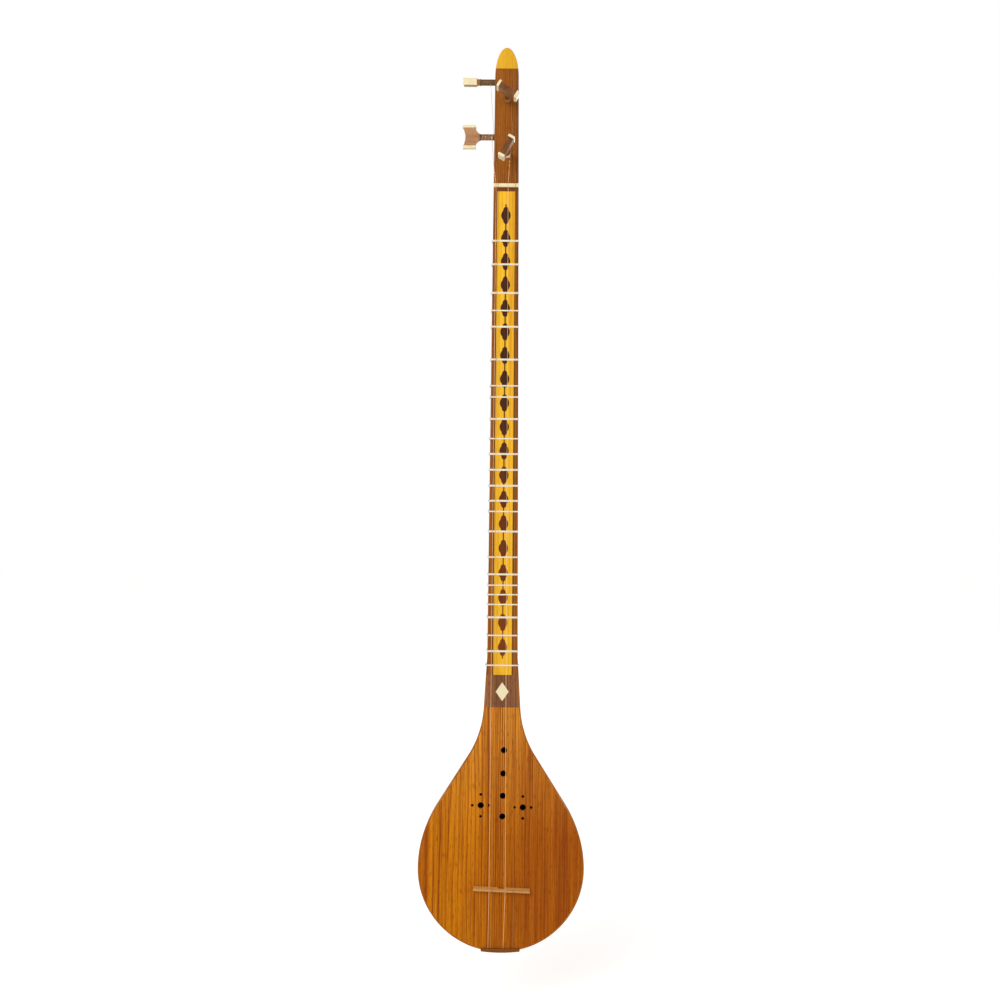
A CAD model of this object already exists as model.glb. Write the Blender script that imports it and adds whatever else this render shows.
import math

import bmesh
import bpy
from mathutils import Matrix, Vector


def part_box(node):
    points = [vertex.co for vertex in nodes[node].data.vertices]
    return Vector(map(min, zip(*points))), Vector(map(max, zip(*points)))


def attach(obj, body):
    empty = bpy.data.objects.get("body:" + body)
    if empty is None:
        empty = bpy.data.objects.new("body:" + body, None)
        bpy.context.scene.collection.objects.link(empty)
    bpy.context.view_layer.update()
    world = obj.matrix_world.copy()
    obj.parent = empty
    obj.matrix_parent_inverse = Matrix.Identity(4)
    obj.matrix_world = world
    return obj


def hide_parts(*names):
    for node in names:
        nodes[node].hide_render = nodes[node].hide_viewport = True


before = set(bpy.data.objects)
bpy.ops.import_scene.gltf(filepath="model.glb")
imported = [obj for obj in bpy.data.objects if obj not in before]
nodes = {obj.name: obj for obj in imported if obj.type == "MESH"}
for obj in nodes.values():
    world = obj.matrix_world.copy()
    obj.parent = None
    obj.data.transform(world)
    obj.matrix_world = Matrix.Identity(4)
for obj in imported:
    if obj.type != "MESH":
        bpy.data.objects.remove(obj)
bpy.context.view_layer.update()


# Studio: pale floor a little way under the hanging lute, white all round, and soft lamps.
# The main lamp stands high on the left and a weaker one on the right, so the wood keeps its own colour.
def linear(text):
    """Linear colour of an sRGB hex value."""
    parts = [int(text[i:i + 2], 16) / 255 for i in (0, 2, 4)]
    return [p / 12.92 if p <= 0.04045 else ((p + 0.055) / 1.055) ** 2.4 for p in parts] + [1.0]


def add(tree, kind, inputs=None, **settings):
    """One shader node with its settings; an input takes a value or another node's output."""
    made = tree.nodes.new("ShaderNode" + kind)
    for name, value in settings.items():
        setattr(made, name, value)
    for name, value in (inputs or {}).items():
        if isinstance(value, bpy.types.NodeSocket):
            tree.links.new(value, made.inputs[name])
        else:
            made.inputs[name].default_value = value
    return made


def new_material(name):
    """Empty material with its main shader, ready for its pattern."""
    material = bpy.data.materials.new(name)
    material.use_nodes = True
    tree = material.node_tree
    tree.nodes.clear()
    shader = add(tree, "BsdfPrincipled")
    add(tree, "OutputMaterial", {"Surface": shader.outputs["BSDF"]})
    return material, tree, shader


floor_paint, tree, shader = new_material("floor_matt_emulsion")
shader.inputs["Base Color"].default_value = linear("F5F4F1")
shader.inputs["Roughness"].default_value = 0.9
path = add(tree, "LightPath")
place = add(tree, "TexCoord").outputs["Object"]
away = add(tree, "VectorMath", {0: place}, operation="LENGTH").outputs[1]
far = add(
    tree, "MapRange", {"Value": away, "From Min": 1.2, "From Max": 3.0, "To Min": 0.42, "To Max": 0.62},
).outputs[0]
glow = add(tree, "Emission", {"Color": linear("FFFFFF"), "Strength": far})
seen = add(
    tree, "Math", {0: path.outputs["Is Camera Ray"], 1: path.outputs["Is Glossy Ray"]}, operation="MAXIMUM",
).outputs[0]
dark = add(tree, "Emission", {"Strength": 0.0})
lift = add(tree, "MixShader", {0: seen, 1: dark.outputs[0], 2: glow.outputs[0]})
both = add(tree, "AddShader", {0: shader.outputs["BSDF"], 1: lift.outputs[0]})
tree.links.new(both.outputs[0], tree.nodes["Material Output"].inputs["Surface"])

floor_height = -0.79
floor_reach = 6
mesh = bpy.data.meshes.new("floor")
form = bmesh.new()
level_place = Matrix.Translation((0, 0, floor_height))
bmesh.ops.create_grid(form, x_segments=1, y_segments=1, size=floor_reach, matrix=level_place)
form.to_mesh(mesh)
form.free()
floor = bpy.data.objects.new("floor", mesh)
bpy.context.scene.collection.objects.link(floor)
mesh.materials.append(floor_paint)

world = bpy.data.worlds.new("studio")
bpy.context.scene.world = world
world.use_nodes = True
tree = world.node_tree
tree.nodes.clear()
path = add(tree, "LightPath")
level = add(tree, "MapRange", {"Value": path.outputs["Is Camera Ray"], "To Min": 0.42}).outputs[0]
sky = add(tree, "Background", {"Color": linear("FFFFFF"), "Strength": level})
add(tree, "OutputWorld", {"Surface": sky.outputs[0]})

for name, place, aim, size, power in (
    ("lamp_left", (-1.1, -1.5, 0.6), (0, 0, -0.35), 1.1, 21),
    ("lamp_right", (1.3, -1.4, 0.1), (0, 0, -0.35), 1.1, 6),
    ("lamp_back", (0.6, 1.6, 0.7), (0, 0, -0.45), 1.2, 12),
):
    lamp = bpy.data.lights.new(name, "AREA")
    lamp.size = size
    lamp.energy = power
    holder = bpy.data.objects.new(name, lamp)
    bpy.context.scene.collection.objects.link(holder)
    holder.location = place
    holder.rotation_mode = "QUATERNION"
    holder.rotation_quaternion = (Vector(aim) - Vector(place)).to_track_quat("-Z", "Y")

camera_data = bpy.data.cameras.new("camera")
camera = bpy.data.objects.new("camera", camera_data)
bpy.context.scene.collection.objects.link(camera)
distance = 1.05
picture_width = 0.95
sensor_width = 36
roll = -0.0079
camera_data.sensor_width = sensor_width
camera_data.lens = sensor_width * distance / picture_width
camera.location = (-0.0035, -distance, -0.29890)
camera.rotation_euler = (math.pi / 2, roll, 0)
bpy.context.scene.camera = camera
bpy.context.scene.view_settings.view_transform = "Standard"


# Neck and head: one length of oiled walnut, shaped with spokeshave and scraper.
# Straight grain runs up the neck, with dark open pores a few millimetres long.
def paint(material, *names):
    """Gives CAD nodes this material."""
    for name in names:
        slots = nodes[name].data.materials
        slots.clear()
        slots.append(material)


def year_rings(tree, count):
    """Place within the year's ring, and a random number for each year."""
    phase = add(tree, "Math", {0: count}, operation="FRACT").outputs[0]
    year = add(tree, "Math", {0: count}, operation="FLOOR").outputs[0]
    return phase, add(tree, "TexWhiteNoise", {"W": year}, noise_dimensions="1D").outputs[0]


def wood(
    name, pale, dark, ring_mm, wobble, rings, pores, roughness, coat,
    turn=(0, 0, 0), shift=0.0, seams=(),
):
    """Wood with its grain along the turned Z: rings, fibres, pores, darker end grain and glue lines.

    Rings and pores are how strongly those show. Each seam is the angle of a glue line about Z, in degrees.
    """
    material, tree, shader = new_material(name)
    place = add(tree, "TexCoord").outputs["Object"]
    if seams:
        parts = add(tree, "SeparateXYZ", {0: place}).outputs
        side = add(tree, "Math", {0: parts[0]}, operation="ABSOLUTE").outputs[0]
        place = add(tree, "CombineXYZ", {0: side, 1: parts[1], 2: parts[2]}).outputs[0]
    glue = 0.0
    for angle in seams:
        normal = (-math.sin(math.radians(angle)), math.cos(math.radians(angle)), 0)
        off = add(tree, "VectorMath", {0: place, 1: normal}, operation="DOT_PRODUCT").outputs[1]
        off = add(tree, "Math", {0: off}, operation="ABSOLUTE").outputs[0]
        near = add(
            tree, "MapRange",
            {"Value": off, "From Min": 0.0001, "From Max": 0.0003, "To Min": 0.7, "To Max": 0.0},
        ).outputs[0]
        glue = add(tree, "Math", {0: near, 1: glue}, operation="MAXIMUM").outputs[0]
    turning = {"Vector": place, "Rotation": turn, "Location": (shift, shift, shift)}
    place = add(tree, "Mapping", turning).outputs[0]
    facing = add(tree, "TexCoord").outputs["Normal"]
    facing = add(tree, "Mapping", {"Vector": facing, "Rotation": turn}, vector_type="NORMAL").outputs[0]
    facing = add(tree, "SeparateXYZ", {0: facing}).outputs[2]
    facing = add(tree, "Math", {0: facing}, operation="ABSOLUTE").outputs[0]
    end_grain = add(
        tree, "MapRange", {"Value": facing, "From Min": 0.7, "From Max": 0.95, "To Max": 0.45},
    ).outputs[0]
    across = add(tree, "SeparateXYZ", {0: place}).outputs[0]

    # The years are ring_mm apart, and slow drifts 40 mm across and 200 mm long bend them.
    stretched = add(tree, "Mapping", {"Vector": place, "Scale": (25, 25, 5)}).outputs[0]
    drift = add(tree, "TexNoise", {"Vector": stretched, "Scale": 1.0, "Detail": 2.0}).outputs[0]
    bent = add(tree, "Math", {0: drift, 1: wobble}, operation="MULTIPLY").outputs[0]
    count = add(tree, "Math", {0: across, 1: 1000 / ring_mm, 2: bent}, operation="MULTIPLY_ADD").outputs[0]
    phase, chance = year_rings(tree, count)
    weight = add(tree, "MapRange", {"Value": chance, "To Min": 0.35, "To Max": 1.2}).outputs[0]
    line = add(tree, "Math", {0: phase, 1: 2.5}, operation="POWER").outputs[0]
    line = add(tree, "Math", {0: line, 1: weight}, operation="MULTIPLY").outputs[0]
    broad = add(tree, "Mapping", {"Vector": place, "Scale": (110, 110, 3)}).outputs[0]
    band = add(tree, "TexNoise", {"Vector": broad, "Scale": 1.0, "Detail": 1.0}).outputs[0]
    band = add(
        tree, "MapRange", {"Value": band, "From Min": 0.3, "From Max": 0.7, "To Min": -0.2, "To Max": 0.25},
    ).outputs[0]

    # Fibres and pores are drawn about 0.6 mm across, coarser than real ones, so that they show.
    thin = add(tree, "Mapping", {"Vector": place, "Scale": (1800, 1800, 45)}).outputs[0]
    fibre = add(tree, "TexNoise", {"Vector": thin, "Scale": 1.0, "Detail": 3.0}).outputs[0]
    short = add(tree, "Mapping", {"Vector": place, "Scale": (1500, 1500, 160)}).outputs[0]
    speck = add(tree, "TexNoise", {"Vector": short, "Scale": 1.0, "Detail": 1.0}).outputs[0]
    pore = add(tree, "MapRange", {"Value": speck, "From Min": 0.60, "From Max": 0.70}).outputs[0]

    streak = add(tree, "Math", {0: fibre, 1: 0.9, 2: band}, operation="MULTIPLY_ADD").outputs[0]
    streak = add(tree, "Math", {0: streak, 1: 0.25}, operation="SUBTRACT").outputs[0]
    streak = add(tree, "Math", {0: streak, 1: end_grain}, operation="ADD").outputs[0]
    mixed = add(
        tree, "Math", {0: line, 1: rings, 2: streak}, operation="MULTIPLY_ADD", use_clamp=True,
    ).outputs[0]
    tone = add(tree, "Mix", {0: mixed, 6: linear(pale), 7: linear(dark)}, data_type="RGBA").outputs[2]
    depth = add(tree, "Math", {0: pore, 1: pores}, operation="MULTIPLY").outputs[0]
    depth = add(tree, "Math", {0: depth, 1: glue}, operation="MAXIMUM").outputs[0]
    deep = [c * 0.35 for c in linear(dark)[:3]] + [1.0]
    colour = add(tree, "Mix", {0: depth, 6: tone, 7: deep}, data_type="RGBA").outputs[2]
    tree.links.new(colour, shader.inputs["Base Color"])
    dull = add(
        tree, "MapRange", {"Value": fibre, "To Min": roughness - 0.06, "To Max": roughness + 0.08},
    ).outputs[0]
    tree.links.new(dull, shader.inputs["Roughness"])
    height = add(tree, "Math", {0: depth, 1: -1.0, 2: fibre}, operation="MULTIPLY_ADD").outputs[0]
    bump = add(tree, "Bump", {"Height": height, "Strength": 0.35, "Distance": 0.00008})
    tree.links.new(bump.outputs[0], shader.inputs["Normal"])
    shader.inputs["Coat Weight"].default_value = coat
    shader.inputs["Coat Roughness"].default_value = 0.25
    shader.inputs["Specular IOR Level"].default_value = 0.18
    return material


walnut = wood(
    "walnut_oiled", "AA6010", "582A04",
    ring_mm=2.2, wobble=3.0, rings=0.75, pores=0.5, roughness=0.45, coat=0.0,
)
paint(walnut, "neck")

# Cap on the tip of the head: a pale yellow close-grained wood, turned to the tip's shape and glued on.
# It is polished with shellac, so its rings hardly show.
cap_wood = wood(
    "orange_wood_shellac", "EEB528", "D29012",
    ring_mm=3.0, wobble=2.0, rings=0.35, pores=0.12, roughness=0.35, coat=0.1,
)
paint(cap_wood, "finial_cap")

# Nut and the diamond on the throat: camel bone, sawn, filed and polished.
# Bone is dense and slightly waxy, cream with faint darker streaks along it.
bone, tree, shader = new_material("camel_bone_polished")
place = add(tree, "TexCoord").outputs["Object"]
stretched = add(tree, "Mapping", {"Vector": place, "Scale": (220, 900, 900)}).outputs[0]
streak = add(tree, "TexNoise", {"Vector": stretched, "Scale": 1.0, "Detail": 3.0}).outputs[0]
tone = add(tree, "Mix", {0: streak, 6: linear("FFF1CC"), 7: linear("EFDCA8")}, data_type="RGBA").outputs[2]
tree.links.new(tone, shader.inputs["Base Color"])
shader.inputs["Roughness"].default_value = 0.32
shader.inputs["Subsurface Weight"].default_value = 0.15
shader.inputs["Subsurface Radius"].default_value = (0.0012, 0.0009, 0.0006)
bump = add(tree, "Bump", {"Height": streak, "Strength": 0.15, "Distance": 0.00005})
tree.links.new(bump.outputs[0], shader.inputs["Normal"])
paint(bone, "nut", "diamond_inlay")

# Fingerboard panel: a long tapered strip of the same yellow wood, let into the neck flush with its face.
# The string of medallions and the border line are sawn from dark wood and let into it.
panel_wood = wood(
    "orange_wood_panel", "FCC32C", "DC9208",
    ring_mm=3.4, wobble=2.5, rings=0.45, pores=0.15, roughness=0.42, coat=0.02,
    shift=0.013,
)
paint(panel_wood, "fingerboard_panel")
border_wood = wood(
    "dyed_veneer_border", "84460E", "522604",
    ring_mm=2.0, wobble=2.0, rings=0.4, pores=0.3, roughness=0.48, coat=0.0,
)
paint(border_wood, "panel_border", "nut_strip")

# Medallions: rosewood, dark near the nut and redder towards the bowl, sawn out as one chain.
# Its fine fibres run along the neck, and it is let in flush and shellacked with the panel.
inlay_wood, tree, shader = new_material("rosewood_shellac")
place = add(tree, "TexCoord").outputs["Object"]
height = add(tree, "SeparateXYZ", {0: place}).outputs[2]
down = add(tree, "MapRange", {"Value": height, "From Min": -0.2, "From Max": -0.45}).outputs[0]
tone = add(tree, "Mix", {0: down, 6: linear("46220E"), 7: linear("823C0A")}, data_type="RGBA").outputs[2]
# Fibres are drawn about 0.6 mm across, coarser than real ones, so that they show.
thin = add(tree, "Mapping", {"Vector": place, "Scale": (1600, 1600, 60)}).outputs[0]
fibre = add(tree, "TexNoise", {"Vector": thin, "Scale": 1.0, "Detail": 3.0}).outputs[0]
shade = add(
    tree, "MapRange", {"Value": fibre, "From Min": 0.3, "From Max": 0.7, "To Min": 0.6, "To Max": 1.35},
).outputs[0]
colour = add(tree, "VectorMath", {0: tone, 3: shade}, operation="SCALE").outputs[0]
tree.links.new(colour, shader.inputs["Base Color"])
shader.inputs["Roughness"].default_value = 0.5
shader.inputs["Specular IOR Level"].default_value = 0.15
paint(inlay_wood, "medallion_inlay")

# Veneer on the throat: dark walnut laid over the joint of neck and bowl.
# Its grain runs straight down, in streaks, and the bone diamond is let into it.
veneer_wood = wood(
    "walnut_veneer", "A06840", "502A14",
    ring_mm=1.5, wobble=2.0, rings=0.7, pores=0.5, roughness=0.48, coat=0.0,
    shift=0.02,
)
paint(veneer_wood, "throat_veneer")

# Soundboard: a thin quarter-sawn board of mulberry, planed, pierced with small holes and shellacked.
# Its rings are wide on the left, where the wood is yellower, and close up and turn redder to the right.
soundboard_wood, tree, shader = new_material("mulberry_soundboard")
place = add(tree, "TexCoord").outputs["Object"]
across = add(tree, "SeparateXYZ", {0: place}).outputs[0]
stretched = add(tree, "Mapping", {"Vector": place, "Scale": (28, 28, 4)}).outputs[0]
drift = add(tree, "TexNoise", {"Vector": stretched, "Scale": 1.0, "Detail": 2.0}).outputs[0]
closing = add(tree, "Math", {0: across, 1: 20.8}, operation="MULTIPLY").outputs[0]
closing = add(tree, "Math", {0: closing}, operation="EXPONENT").outputs[0]
drift = add(tree, "Math", {0: drift, 1: 3.0}, operation="MULTIPLY").outputs[0]
count = add(tree, "Math", {0: closing, 1: 24.0, 2: drift}, operation="MULTIPLY_ADD").outputs[0]
phase, chance = year_rings(tree, count)
weight = add(tree, "MapRange", {"Value": chance, "To Min": 0.3, "To Max": 1.25}).outputs[0]
sharp = add(
    tree, "MapRange", {"Value": across, "From Min": -0.06, "From Max": 0.01, "To Min": 5.0, "To Max": 2.0},
).outputs[0]
line = add(tree, "Math", {0: phase, 1: sharp}, operation="POWER").outputs[0]
line = add(tree, "Math", {0: line, 1: weight}, operation="MULTIPLY").outputs[0]
broad = add(tree, "Mapping", {"Vector": place, "Scale": (150, 150, 2.5)}).outputs[0]
band = add(tree, "TexNoise", {"Vector": broad, "Scale": 1.0, "Detail": 2.0}).outputs[0]
band = add(
    tree, "MapRange", {"Value": band, "From Min": 0.3, "From Max": 0.7, "To Min": -0.25, "To Max": 0.35},
).outputs[0]
# Fibres are drawn about 1 mm across and 70 mm long, coarser than real ones, so that they show.
thin = add(tree, "Mapping", {"Vector": place, "Scale": (900, 900, 14)}).outputs[0]
fibre = add(tree, "TexNoise", {"Vector": thin, "Scale": 1.0, "Detail": 4.0}).outputs[0]
short = add(tree, "Mapping", {"Vector": place, "Scale": (1300, 1300, 120)}).outputs[0]
speck = add(tree, "TexNoise", {"Vector": short, "Scale": 1.0, "Detail": 1.0}).outputs[0]
pore = add(tree, "MapRange", {"Value": speck, "From Min": 0.58, "From Max": 0.70, "To Max": 0.5}).outputs[0]
side = add(tree, "MapRange", {"Value": across, "From Min": -0.04, "From Max": 0.045}).outputs[0]
pale = add(tree, "Mix", {0: side, 6: linear("D88202"), 7: linear("B86202")}, data_type="RGBA").outputs[2]
up = add(tree, "SeparateXYZ", {0: place}).outputs[2]
up = add(tree, "MapRange", {"Value": up, "From Min": -0.62, "From Max": -0.52, "To Max": 0.6}).outputs[0]
pale = add(tree, "Mix", {0: up, 6: pale, 7: linear("F4A23A")}, data_type="RGBA").outputs[2]
dark = add(tree, "Mix", {0: side, 6: linear("904000"), 7: linear("843602")}, data_type="RGBA").outputs[2]
streak = add(tree, "Math", {0: fibre, 1: 1.9, 2: band}, operation="MULTIPLY_ADD").outputs[0]
streak = add(tree, "Math", {0: streak, 1: 0.72}, operation="SUBTRACT").outputs[0]
mixed = add(tree, "Math", {0: line, 1: 0.8, 2: streak}, operation="MULTIPLY_ADD", use_clamp=True).outputs[0]
tone = add(tree, "Mix", {0: mixed, 6: pale, 7: dark}, data_type="RGBA").outputs[2]
bent = add(tree, "Math", {0: drift, 1: 0.006, 2: across}, operation="MULTIPLY_ADD").outputs[0]
flame = add(
    tree, "MapRange", {"Value": bent, "From Min": -0.057, "From Max": -0.063, "To Max": 1.5},
).outputs[0]
past = add(
    tree, "MapRange", {"Value": bent, "From Min": -0.063, "From Max": -0.068, "To Min": 1.0, "To Max": 0.4},
).outputs[0]
flame = add(tree, "Math", {0: flame, 1: past}, operation="MULTIPLY").outputs[0]
flame = add(tree, "Math", {0: flame, 1: fibre}, operation="MULTIPLY").outputs[0]
tone = add(tree, "Mix", {0: flame, 6: tone, 7: linear("8C3404")}, data_type="RGBA").outputs[2]
colour = add(tree, "Mix", {0: pore, 6: tone, 7: linear("582802")}, data_type="RGBA").outputs[2]
tree.links.new(colour, shader.inputs["Base Color"])
dull = add(tree, "MapRange", {"Value": fibre, "To Min": 0.4, "To Max": 0.55}).outputs[0]
tree.links.new(dull, shader.inputs["Roughness"])
relief = add(tree, "Math", {0: pore, 1: -1.0, 2: fibre}, operation="MULTIPLY_ADD").outputs[0]
bump = add(tree, "Bump", {"Height": relief, "Strength": 0.3, "Distance": 0.00008})
tree.links.new(bump.outputs[0], shader.inputs["Normal"])
shader.inputs["Specular IOR Level"].default_value = 0.1
paint(soundboard_wood, "soundboard")

# Bowl: nine staves of mulberry, bent over a mould and glued edge to edge, then scraped and shellacked.
# Each stave is cut from its own strip, so its grain runs straight along it and its tone differs a little.
for number, (name, angle, seams, pale, dark) in enumerate((
    ("bowl_stave_centre", 0, (81.95,), "BE7420", "84430C"),
    ("bowl_stave_pair_1", 16.2, (81.95, 65.6), "C67C28", "8C4A10"),
    ("bowl_stave_pair_2", 33.5, (65.6, 47.4), "B66C1A", "7C3C08"),
    ("bowl_stave_pair_3", 53.5, (47.4, 25.6), "C27824", "88460E"),
    ("bowl_stave_pair_4", 77.2, (25.6,), "BA701E", "84420C"),
)):
    stave_wood = wood(
        f"mulberry_stave_{number}", pale, dark,
        ring_mm=3.2, wobble=3.0, rings=0.5, pores=0.35, roughness=0.42, coat=0.06,
        turn=(0, 0, math.radians(angle)), shift=0.037 * number, seams=seams,
    )
    paint(stave_wood, name)

# Blocks inside the bowl, and the cap over the staves' ends at the tail: plain mulberry.
# The throat block takes the neck's tenon, and the tail block takes the staves' ends and the tailpiece.
block_wood = wood(
    "mulberry_block", "BA7020", "82400A",
    ring_mm=3.0, wobble=2.0, rings=0.5, pores=0.35, roughness=0.45, coat=0.1,
)
paint(block_wood, "tail_block", "throat_block")

# Bridge: a low bar of pale hardwood, bare, standing loose on the board under the strings.
# Its grain runs along the bar, from side to side.
bridge_wood = wood(
    "boxwood_bare", "D8A05A", "B07A3A",
    ring_mm=1.6, wobble=1.0, rings=0.4, pores=0.4, roughness=0.6, coat=0.0,
    turn=(0, math.pi / 2, 0),
)
paint(bridge_wood, "bridge")

# Tailpiece: a strip of dark hardwood let into the foot of the board, holed for the strings' ends.
# Its grain runs along the strip, from side to side.
tail_wood = wood(
    "dark_hardwood_shellac", "985614", "5C2A06",
    ring_mm=1.5, wobble=1.5, rings=0.5, pores=0.3, roughness=0.4, coat=0.0,
    turn=(0, math.pi / 2, 0),
)
paint(tail_wood, "tailpiece")

# Pegs: pear wood, turned and carved to a fishtail, waxed, with a cap of bone on each edge of the head.
# Their shafts are darker than their heads.
for place, pale, dark, turn, shaft_axis, head_start in (
    ("side", "CC986C", "84522E", (0, math.pi / 2, 0), 0, -0.0262),
    ("front", "A2683A", "5E3616", (math.pi / 2, 0, 0), 1, -0.0145),
):
    peg_wood = wood(
        f"pear_wood_{place}_pegs", pale, dark,
        ring_mm=1.4, wobble=1.5, rings=0.35, pores=0.4, roughness=0.42, coat=0.05,
        turn=turn,
    )
    tree = peg_wood.node_tree
    shader = tree.nodes["Principled BSDF"]
    clean = shader.inputs["Base Color"].links[0].from_socket
    out = add(tree, "SeparateXYZ", {0: add(tree, "TexCoord").outputs["Object"]}).outputs[shaft_axis]
    shaded = add(
        tree, "MapRange",
        {"Value": out, "From Min": head_start, "From Max": head_start + 0.001, "To Max": 0.65},
    ).outputs[0]
    colour = add(tree, "Mix", {0: shaded, 6: clean, 7: linear("3C2212")}, data_type="RGBA").outputs[2]
    tree.links.new(colour, shader.inputs["Base Color"])
    paint(peg_wood, f"peg_{place}_upper", f"peg_{place}_lower")
    paint(bone, f"peg_{place}_upper_caps", f"peg_{place}_lower_caps")

# Strings: drawn music wire, brass for the second string and wound bronze for the bass.
# Each runs from its peg over the nut and the bridge into a hole in the tailpiece.
# The steel is tinted browner and the brass paler than bare wire, fitted to how they look in the photo.
mm = 0.001
wires = {}
for name, tint, roughness in (
    ("steel_wire_drawn", "A48058", 0.35),
    ("brass_wire_drawn", "FFE6BC", 0.35),
    ("bronze_wire_wound", "F4C698", 0.4),
):
    wire, tree, shader = new_material(name)
    place = add(tree, "TexCoord").outputs["Object"]
    stretched = add(tree, "Mapping", {"Vector": place, "Scale": (2500, 2500, 300)}).outputs[0]
    drawn = add(tree, "TexNoise", {"Vector": stretched, "Scale": 1.0, "Detail": 2.0}).outputs[0]
    shade = add(tree, "MapRange", {"Value": drawn, "To Min": 0.85, "To Max": 1.1}).outputs[0]
    colour = add(tree, "VectorMath", {0: linear(tint)[:3], 3: shade}, operation="SCALE").outputs[0]
    tree.links.new(colour, shader.inputs["Base Color"])
    shader.inputs["Metallic"].default_value = 1.0
    shader.inputs["Roughness"].default_value = roughness
    wires[name] = wire


def new_piece(name, data, material, body, stood_for):
    """Puts a finished mesh or curve into the scene as one piece of the lute."""
    piece = bpy.data.objects.new(name, data)
    bpy.context.scene.collection.objects.link(piece)
    data.materials.append(material)
    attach(piece, body)
    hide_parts(stood_for)


def thread(data, points):
    """One more run of round wire or gut through these points, given in millimetres."""
    run = data.splines.new("POLY")
    run.points.add(len(points) - 1)
    for spot, point in zip(run.points, points):
        spot.co = (point[0] * mm, point[1] * mm, point[2] * mm, 1)
    run.use_smooth = True


def round_curve(name, diameter):
    """Empty curve that is drawn as round wire or gut of this diameter in millimetres."""
    data = bpy.data.curves.new(name, "CURVE")
    data.dimensions = "3D"
    data.bevel_depth = diameter / 2 * mm
    data.bevel_resolution = 2
    data.use_fill_caps = True
    return data


shaft_radius = 2.8
wire_gap = 0.02
wire_sides = 8
steps_per_turn = 20
lean = math.radians(2)
# Lengths are in millimetres; along a peg they are measured from the base of its shaft, and the bends
# follow the string from the nut over the bridge to its hole in the tailpiece.
strings = (
    {
        "name": "first", "peg": "peg_front_upper", "base": (0.8, 0, 81.1), "axis": (0, -1, 0),
        "wound_between": (0.7, 8.2), "leaves_at": 1.9, "pitch_ratio": 1.05, "diameter": 0.25,
        "wire": "steel_wire_drawn", "slot": "steel_wire",
        "bends": ((9.0, -1.5, 0), (12.1, -5.1, -669.23), (11.5, -1.0, -726.2)),
    },
    {
        "name": "second", "peg": "peg_front_lower", "base": (0.8, 0, 28.5),
        "axis": (-math.sin(lean), -math.cos(lean), 0),
        "wound_between": (0.7, 8.2), "leaves_at": 1.9, "pitch_ratio": 1.05, "diameter": 0.28,
        "wire": "brass_wire_drawn", "slot": "brass_wire",
        "bends": ((1.9, -1.5, 0), (4.2, -5.1, -668.93), (2.6, -1.0, -726.2)),
    },
    {
        "name": "drone", "peg": "peg_side_upper", "base": (-11.221, 7.5, 100.3), "axis": (-1, 0, 0),
        "wound_between": (0.5, 12.9), "leaves_at": 4.4, "pitch_ratio": 2.6, "diameter": 0.25,
        "wire": "steel_wire_drawn", "slot": "steel_wire",
        "bends": ((-7.6, -1.5, 0), (-8.0, -5.1, -668.46), (-9.4, -1.0, -726.2)),
    },
    {
        "name": "bass", "peg": "peg_side_lower", "base": (-11.576, 7.5, 47.9), "axis": (-1, 0, 0),
        "wound_between": (0.5, 12.4), "leaves_at": 2.7, "pitch_ratio": 3.2, "diameter": 0.42,
        "wire": "bronze_wire_wound", "slot": "bronze_wire",
        "bends": ((-9.5, -1.5, 0), (-11.0, -5.1, -668.35), (-11.8, -1.0, -726.2)),
    },
)


def edge_corner(cad_name, diameter):
    """Where a string from a side peg bends round the neck's edge, found on its CAD node, in millimetres."""
    spots = [vertex.co / mm for vertex in nodes[cad_name].data.vertices]
    above_nut = 5
    below_peg = max(spot.z for spot in spots) - 3
    near = [spot for spot in spots if above_nut < spot.z < below_peg]
    front = min(near, key=lambda spot: spot.x + spot.y)
    return Vector((front.x + diameter / 3, front.y + diameter / 3, front.z))


for string in strings:
    cad_name = "string_" + string["name"]
    diameter = string["diameter"]
    bends = [Vector(bend) for bend in string["bends"]]
    base, axis = Vector(string["base"]), Vector(string["axis"])
    if string["peg"].startswith("peg_side"):
        bends.insert(0, edge_corner(cad_name, diameter))
    target = bends[0] - base
    flat = target - axis * target.dot(axis)
    radius = shaft_radius + diameter / 2 + wire_gap
    ahead = flat.normalized()
    beside = axis.cross(ahead)
    opening = math.acos(radius / flat.length)
    outward = ahead * math.cos(opening) + beside * math.sin(opening)
    touch = base + axis * string["leaves_at"] + outward * radius
    run = round_curve(cad_name + "_wire", diameter)
    thread(run, [touch] + bends)
    new_piece(cad_name + "_wire", run, wires[string["wire"]], "body", cad_name)

    low, high = string["wound_between"]
    pitch = diameter * string["pitch_ratio"]
    turns = (high - low) / pitch
    steps = round(steps_per_turn * turns)
    mesh = bpy.data.meshes.new("winding_" + string["name"])
    form = bmesh.new()
    first = (base + axis * low + beside * radius) * mm
    facing = Matrix((beside, axis, beside.cross(axis))).transposed().to_4x4()
    start_place = Matrix.Translation(first) @ facing
    bmesh.ops.create_circle(form, segments=wire_sides, radius=diameter / 2 * mm, matrix=start_place)
    bmesh.ops.spin(
        form, geom=form.verts[:] + form.edges[:], cent=base * mm, axis=axis,
        dvec=axis * (pitch * turns / steps) * mm, angle=2 * math.pi * turns, steps=steps,
    )
    open_edges = [edge for edge in form.edges if edge.is_boundary]
    bmesh.ops.holes_fill(form, edges=open_edges, sides=wire_sides)
    bmesh.ops.recalc_face_normals(form, faces=form.faces)
    for face in form.faces:
        face.smooth = True
    form.to_mesh(mesh)
    form.free()
    new_piece(
        "winding_" + string["name"], mesh, wires[string["wire"]],
        string["peg"] + "_set", cad_name + "_turns",
    )

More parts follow.
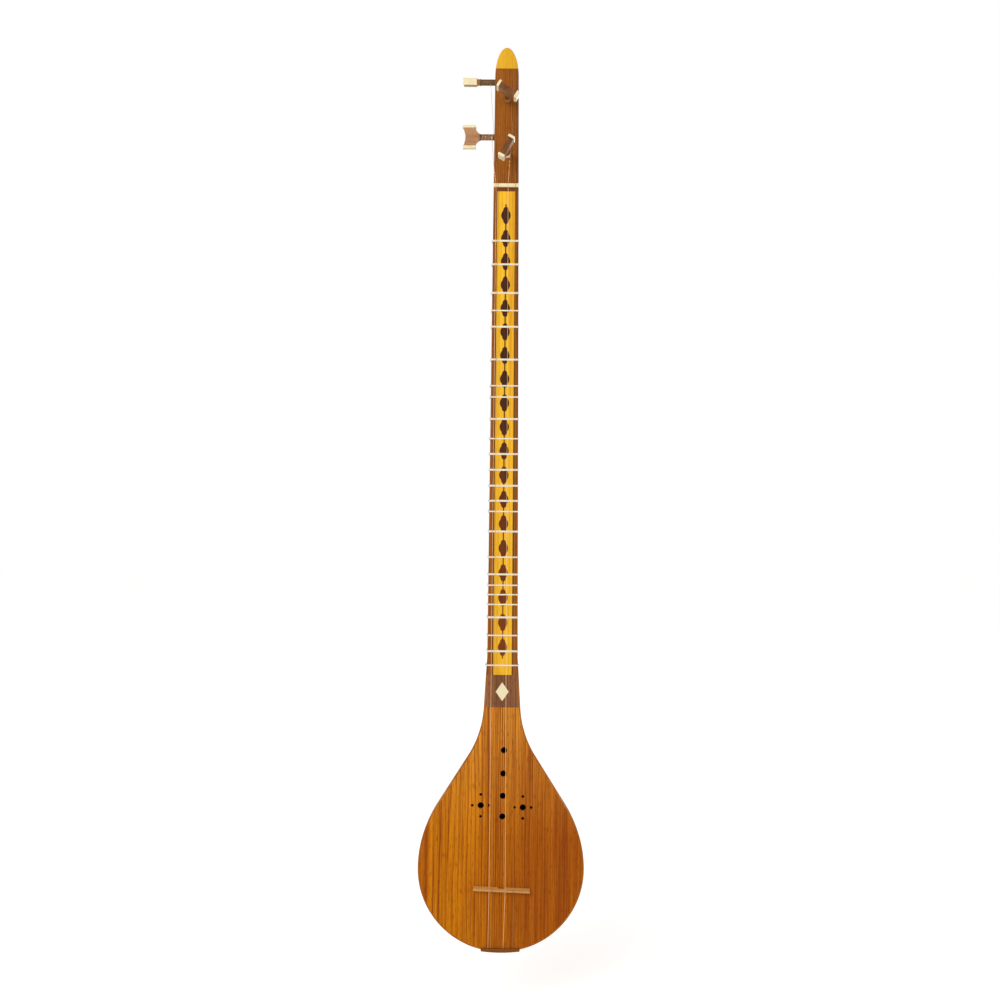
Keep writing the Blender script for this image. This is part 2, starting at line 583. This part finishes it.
# Frets: gut, wound round the neck three times for the narrow frets and four for the rest, and knotted
# on the bass side. It dries hard and waxy cream, and each fret can be pushed a little along the neck.
gut, tree, shader = new_material("gut_twisted")
place = add(tree, "TexCoord").outputs["Object"]
stretched = add(tree, "Mapping", {"Vector": place, "Scale": (600, 600, 1800)}).outputs[0]
twist = add(tree, "TexNoise", {"Vector": stretched, "Scale": 1.0, "Detail": 2.0}).outputs[0]
tone = add(tree, "Mix", {0: twist, 6: linear("FFFAEA"), 7: linear("F6E9C8")}, data_type="RGBA").outputs[2]
tree.links.new(tone, shader.inputs["Base Color"])
shader.inputs["Roughness"].default_value = 0.45

# The neck's sizes and the gut's are in millimetres, and the travel is how far a fret can be pushed down.
gut_diameter = 0.46
gut_gap = 0.03
fret_count = 25
narrow_frets = (4, 7, 8, 10, 15, 17, 19, 20, 21, 23, 25)
edge_round = 1.0
back_ratio = 130 / 79
travel = 3.0
flare_start, flare_end = -448.6, -465
nut_half, flare_half, joint_half = 11.9, 14.45, 15.6
corner_steps = 6
back_steps = 36
end_tuck = 4.0


def neck_half_width(height):
    """Half width of the neck at a height above the nut, in millimetres."""
    if height < flare_start:
        return joint_half + (height - flare_end) / (flare_start - flare_end) * (flare_half - joint_half)
    return nut_half + height / flare_start * (flare_half - nut_half)


def wound_turns(wide, off, middle, turn_count):
    """Points of one length of gut wound round the neck, with both ends tucked down its sides."""
    bend = edge_round + off
    points = []
    for turn in range(turn_count):
        z = middle + (turn - (turn_count - 1) / 2) * gut_diameter
        for side, start in ((-1, 180), (1, 270)):
            for step in range(corner_steps + 1):
                angle = math.radians(start + 90 / corner_steps * step)
                x = side * (wide - edge_round) + bend * math.cos(angle)
                points.append((x, edge_round + bend * math.sin(angle), z))
        if turn == turn_count - 1:
            break
        for step in range(1, back_steps):
            angle = math.pi * step / back_steps
            x = (wide + off) * math.cos(angle)
            y = edge_round + (back_ratio * wide - edge_round + off) * math.sin(angle)
            points.append((x, y, z + gut_diameter * step / back_steps))
    points.insert(0, (-wide - off, edge_round + end_tuck, points[0][2]))
    points.append((wide + off, edge_round + end_tuck, points[-1][2]))
    return points


def knot_strand(side, middle, slope, lift):
    """Points of one of the two strands that cross in the knot, on the neck's side."""
    bends = ((3.2, -1.5, 0), (4.2, -0.6, 0.8), (4.9, 0, 1), (5.6, 0.6, 0.8), (6.6, 1.5, 0))
    return [(side - lift * out, depth, middle + along * slope) for depth, along, out in bends]


for number in range(1, fret_count + 1):
    turn_count = 3 if number in narrow_frets else 4
    cad_name = f"fret_{number:02d}"
    low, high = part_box(cad_name)
    middle = (low.z + high.z) / 2 / mm
    wide = neck_half_width(middle - travel - turn_count / 2 * gut_diameter)
    off = gut_diameter / 2 + gut_gap
    fret = round_curve(cad_name + "_turns", gut_diameter)
    thread(fret, wound_turns(wide, off, middle, turn_count))
    thread(fret, knot_strand(-wide - off, middle, 1, 0.5))
    thread(fret, knot_strand(-wide - off, middle, -1, 0.85))
    new_piece(cad_name + "_turns", fret, gut, cad_name + "_gut", cad_name)
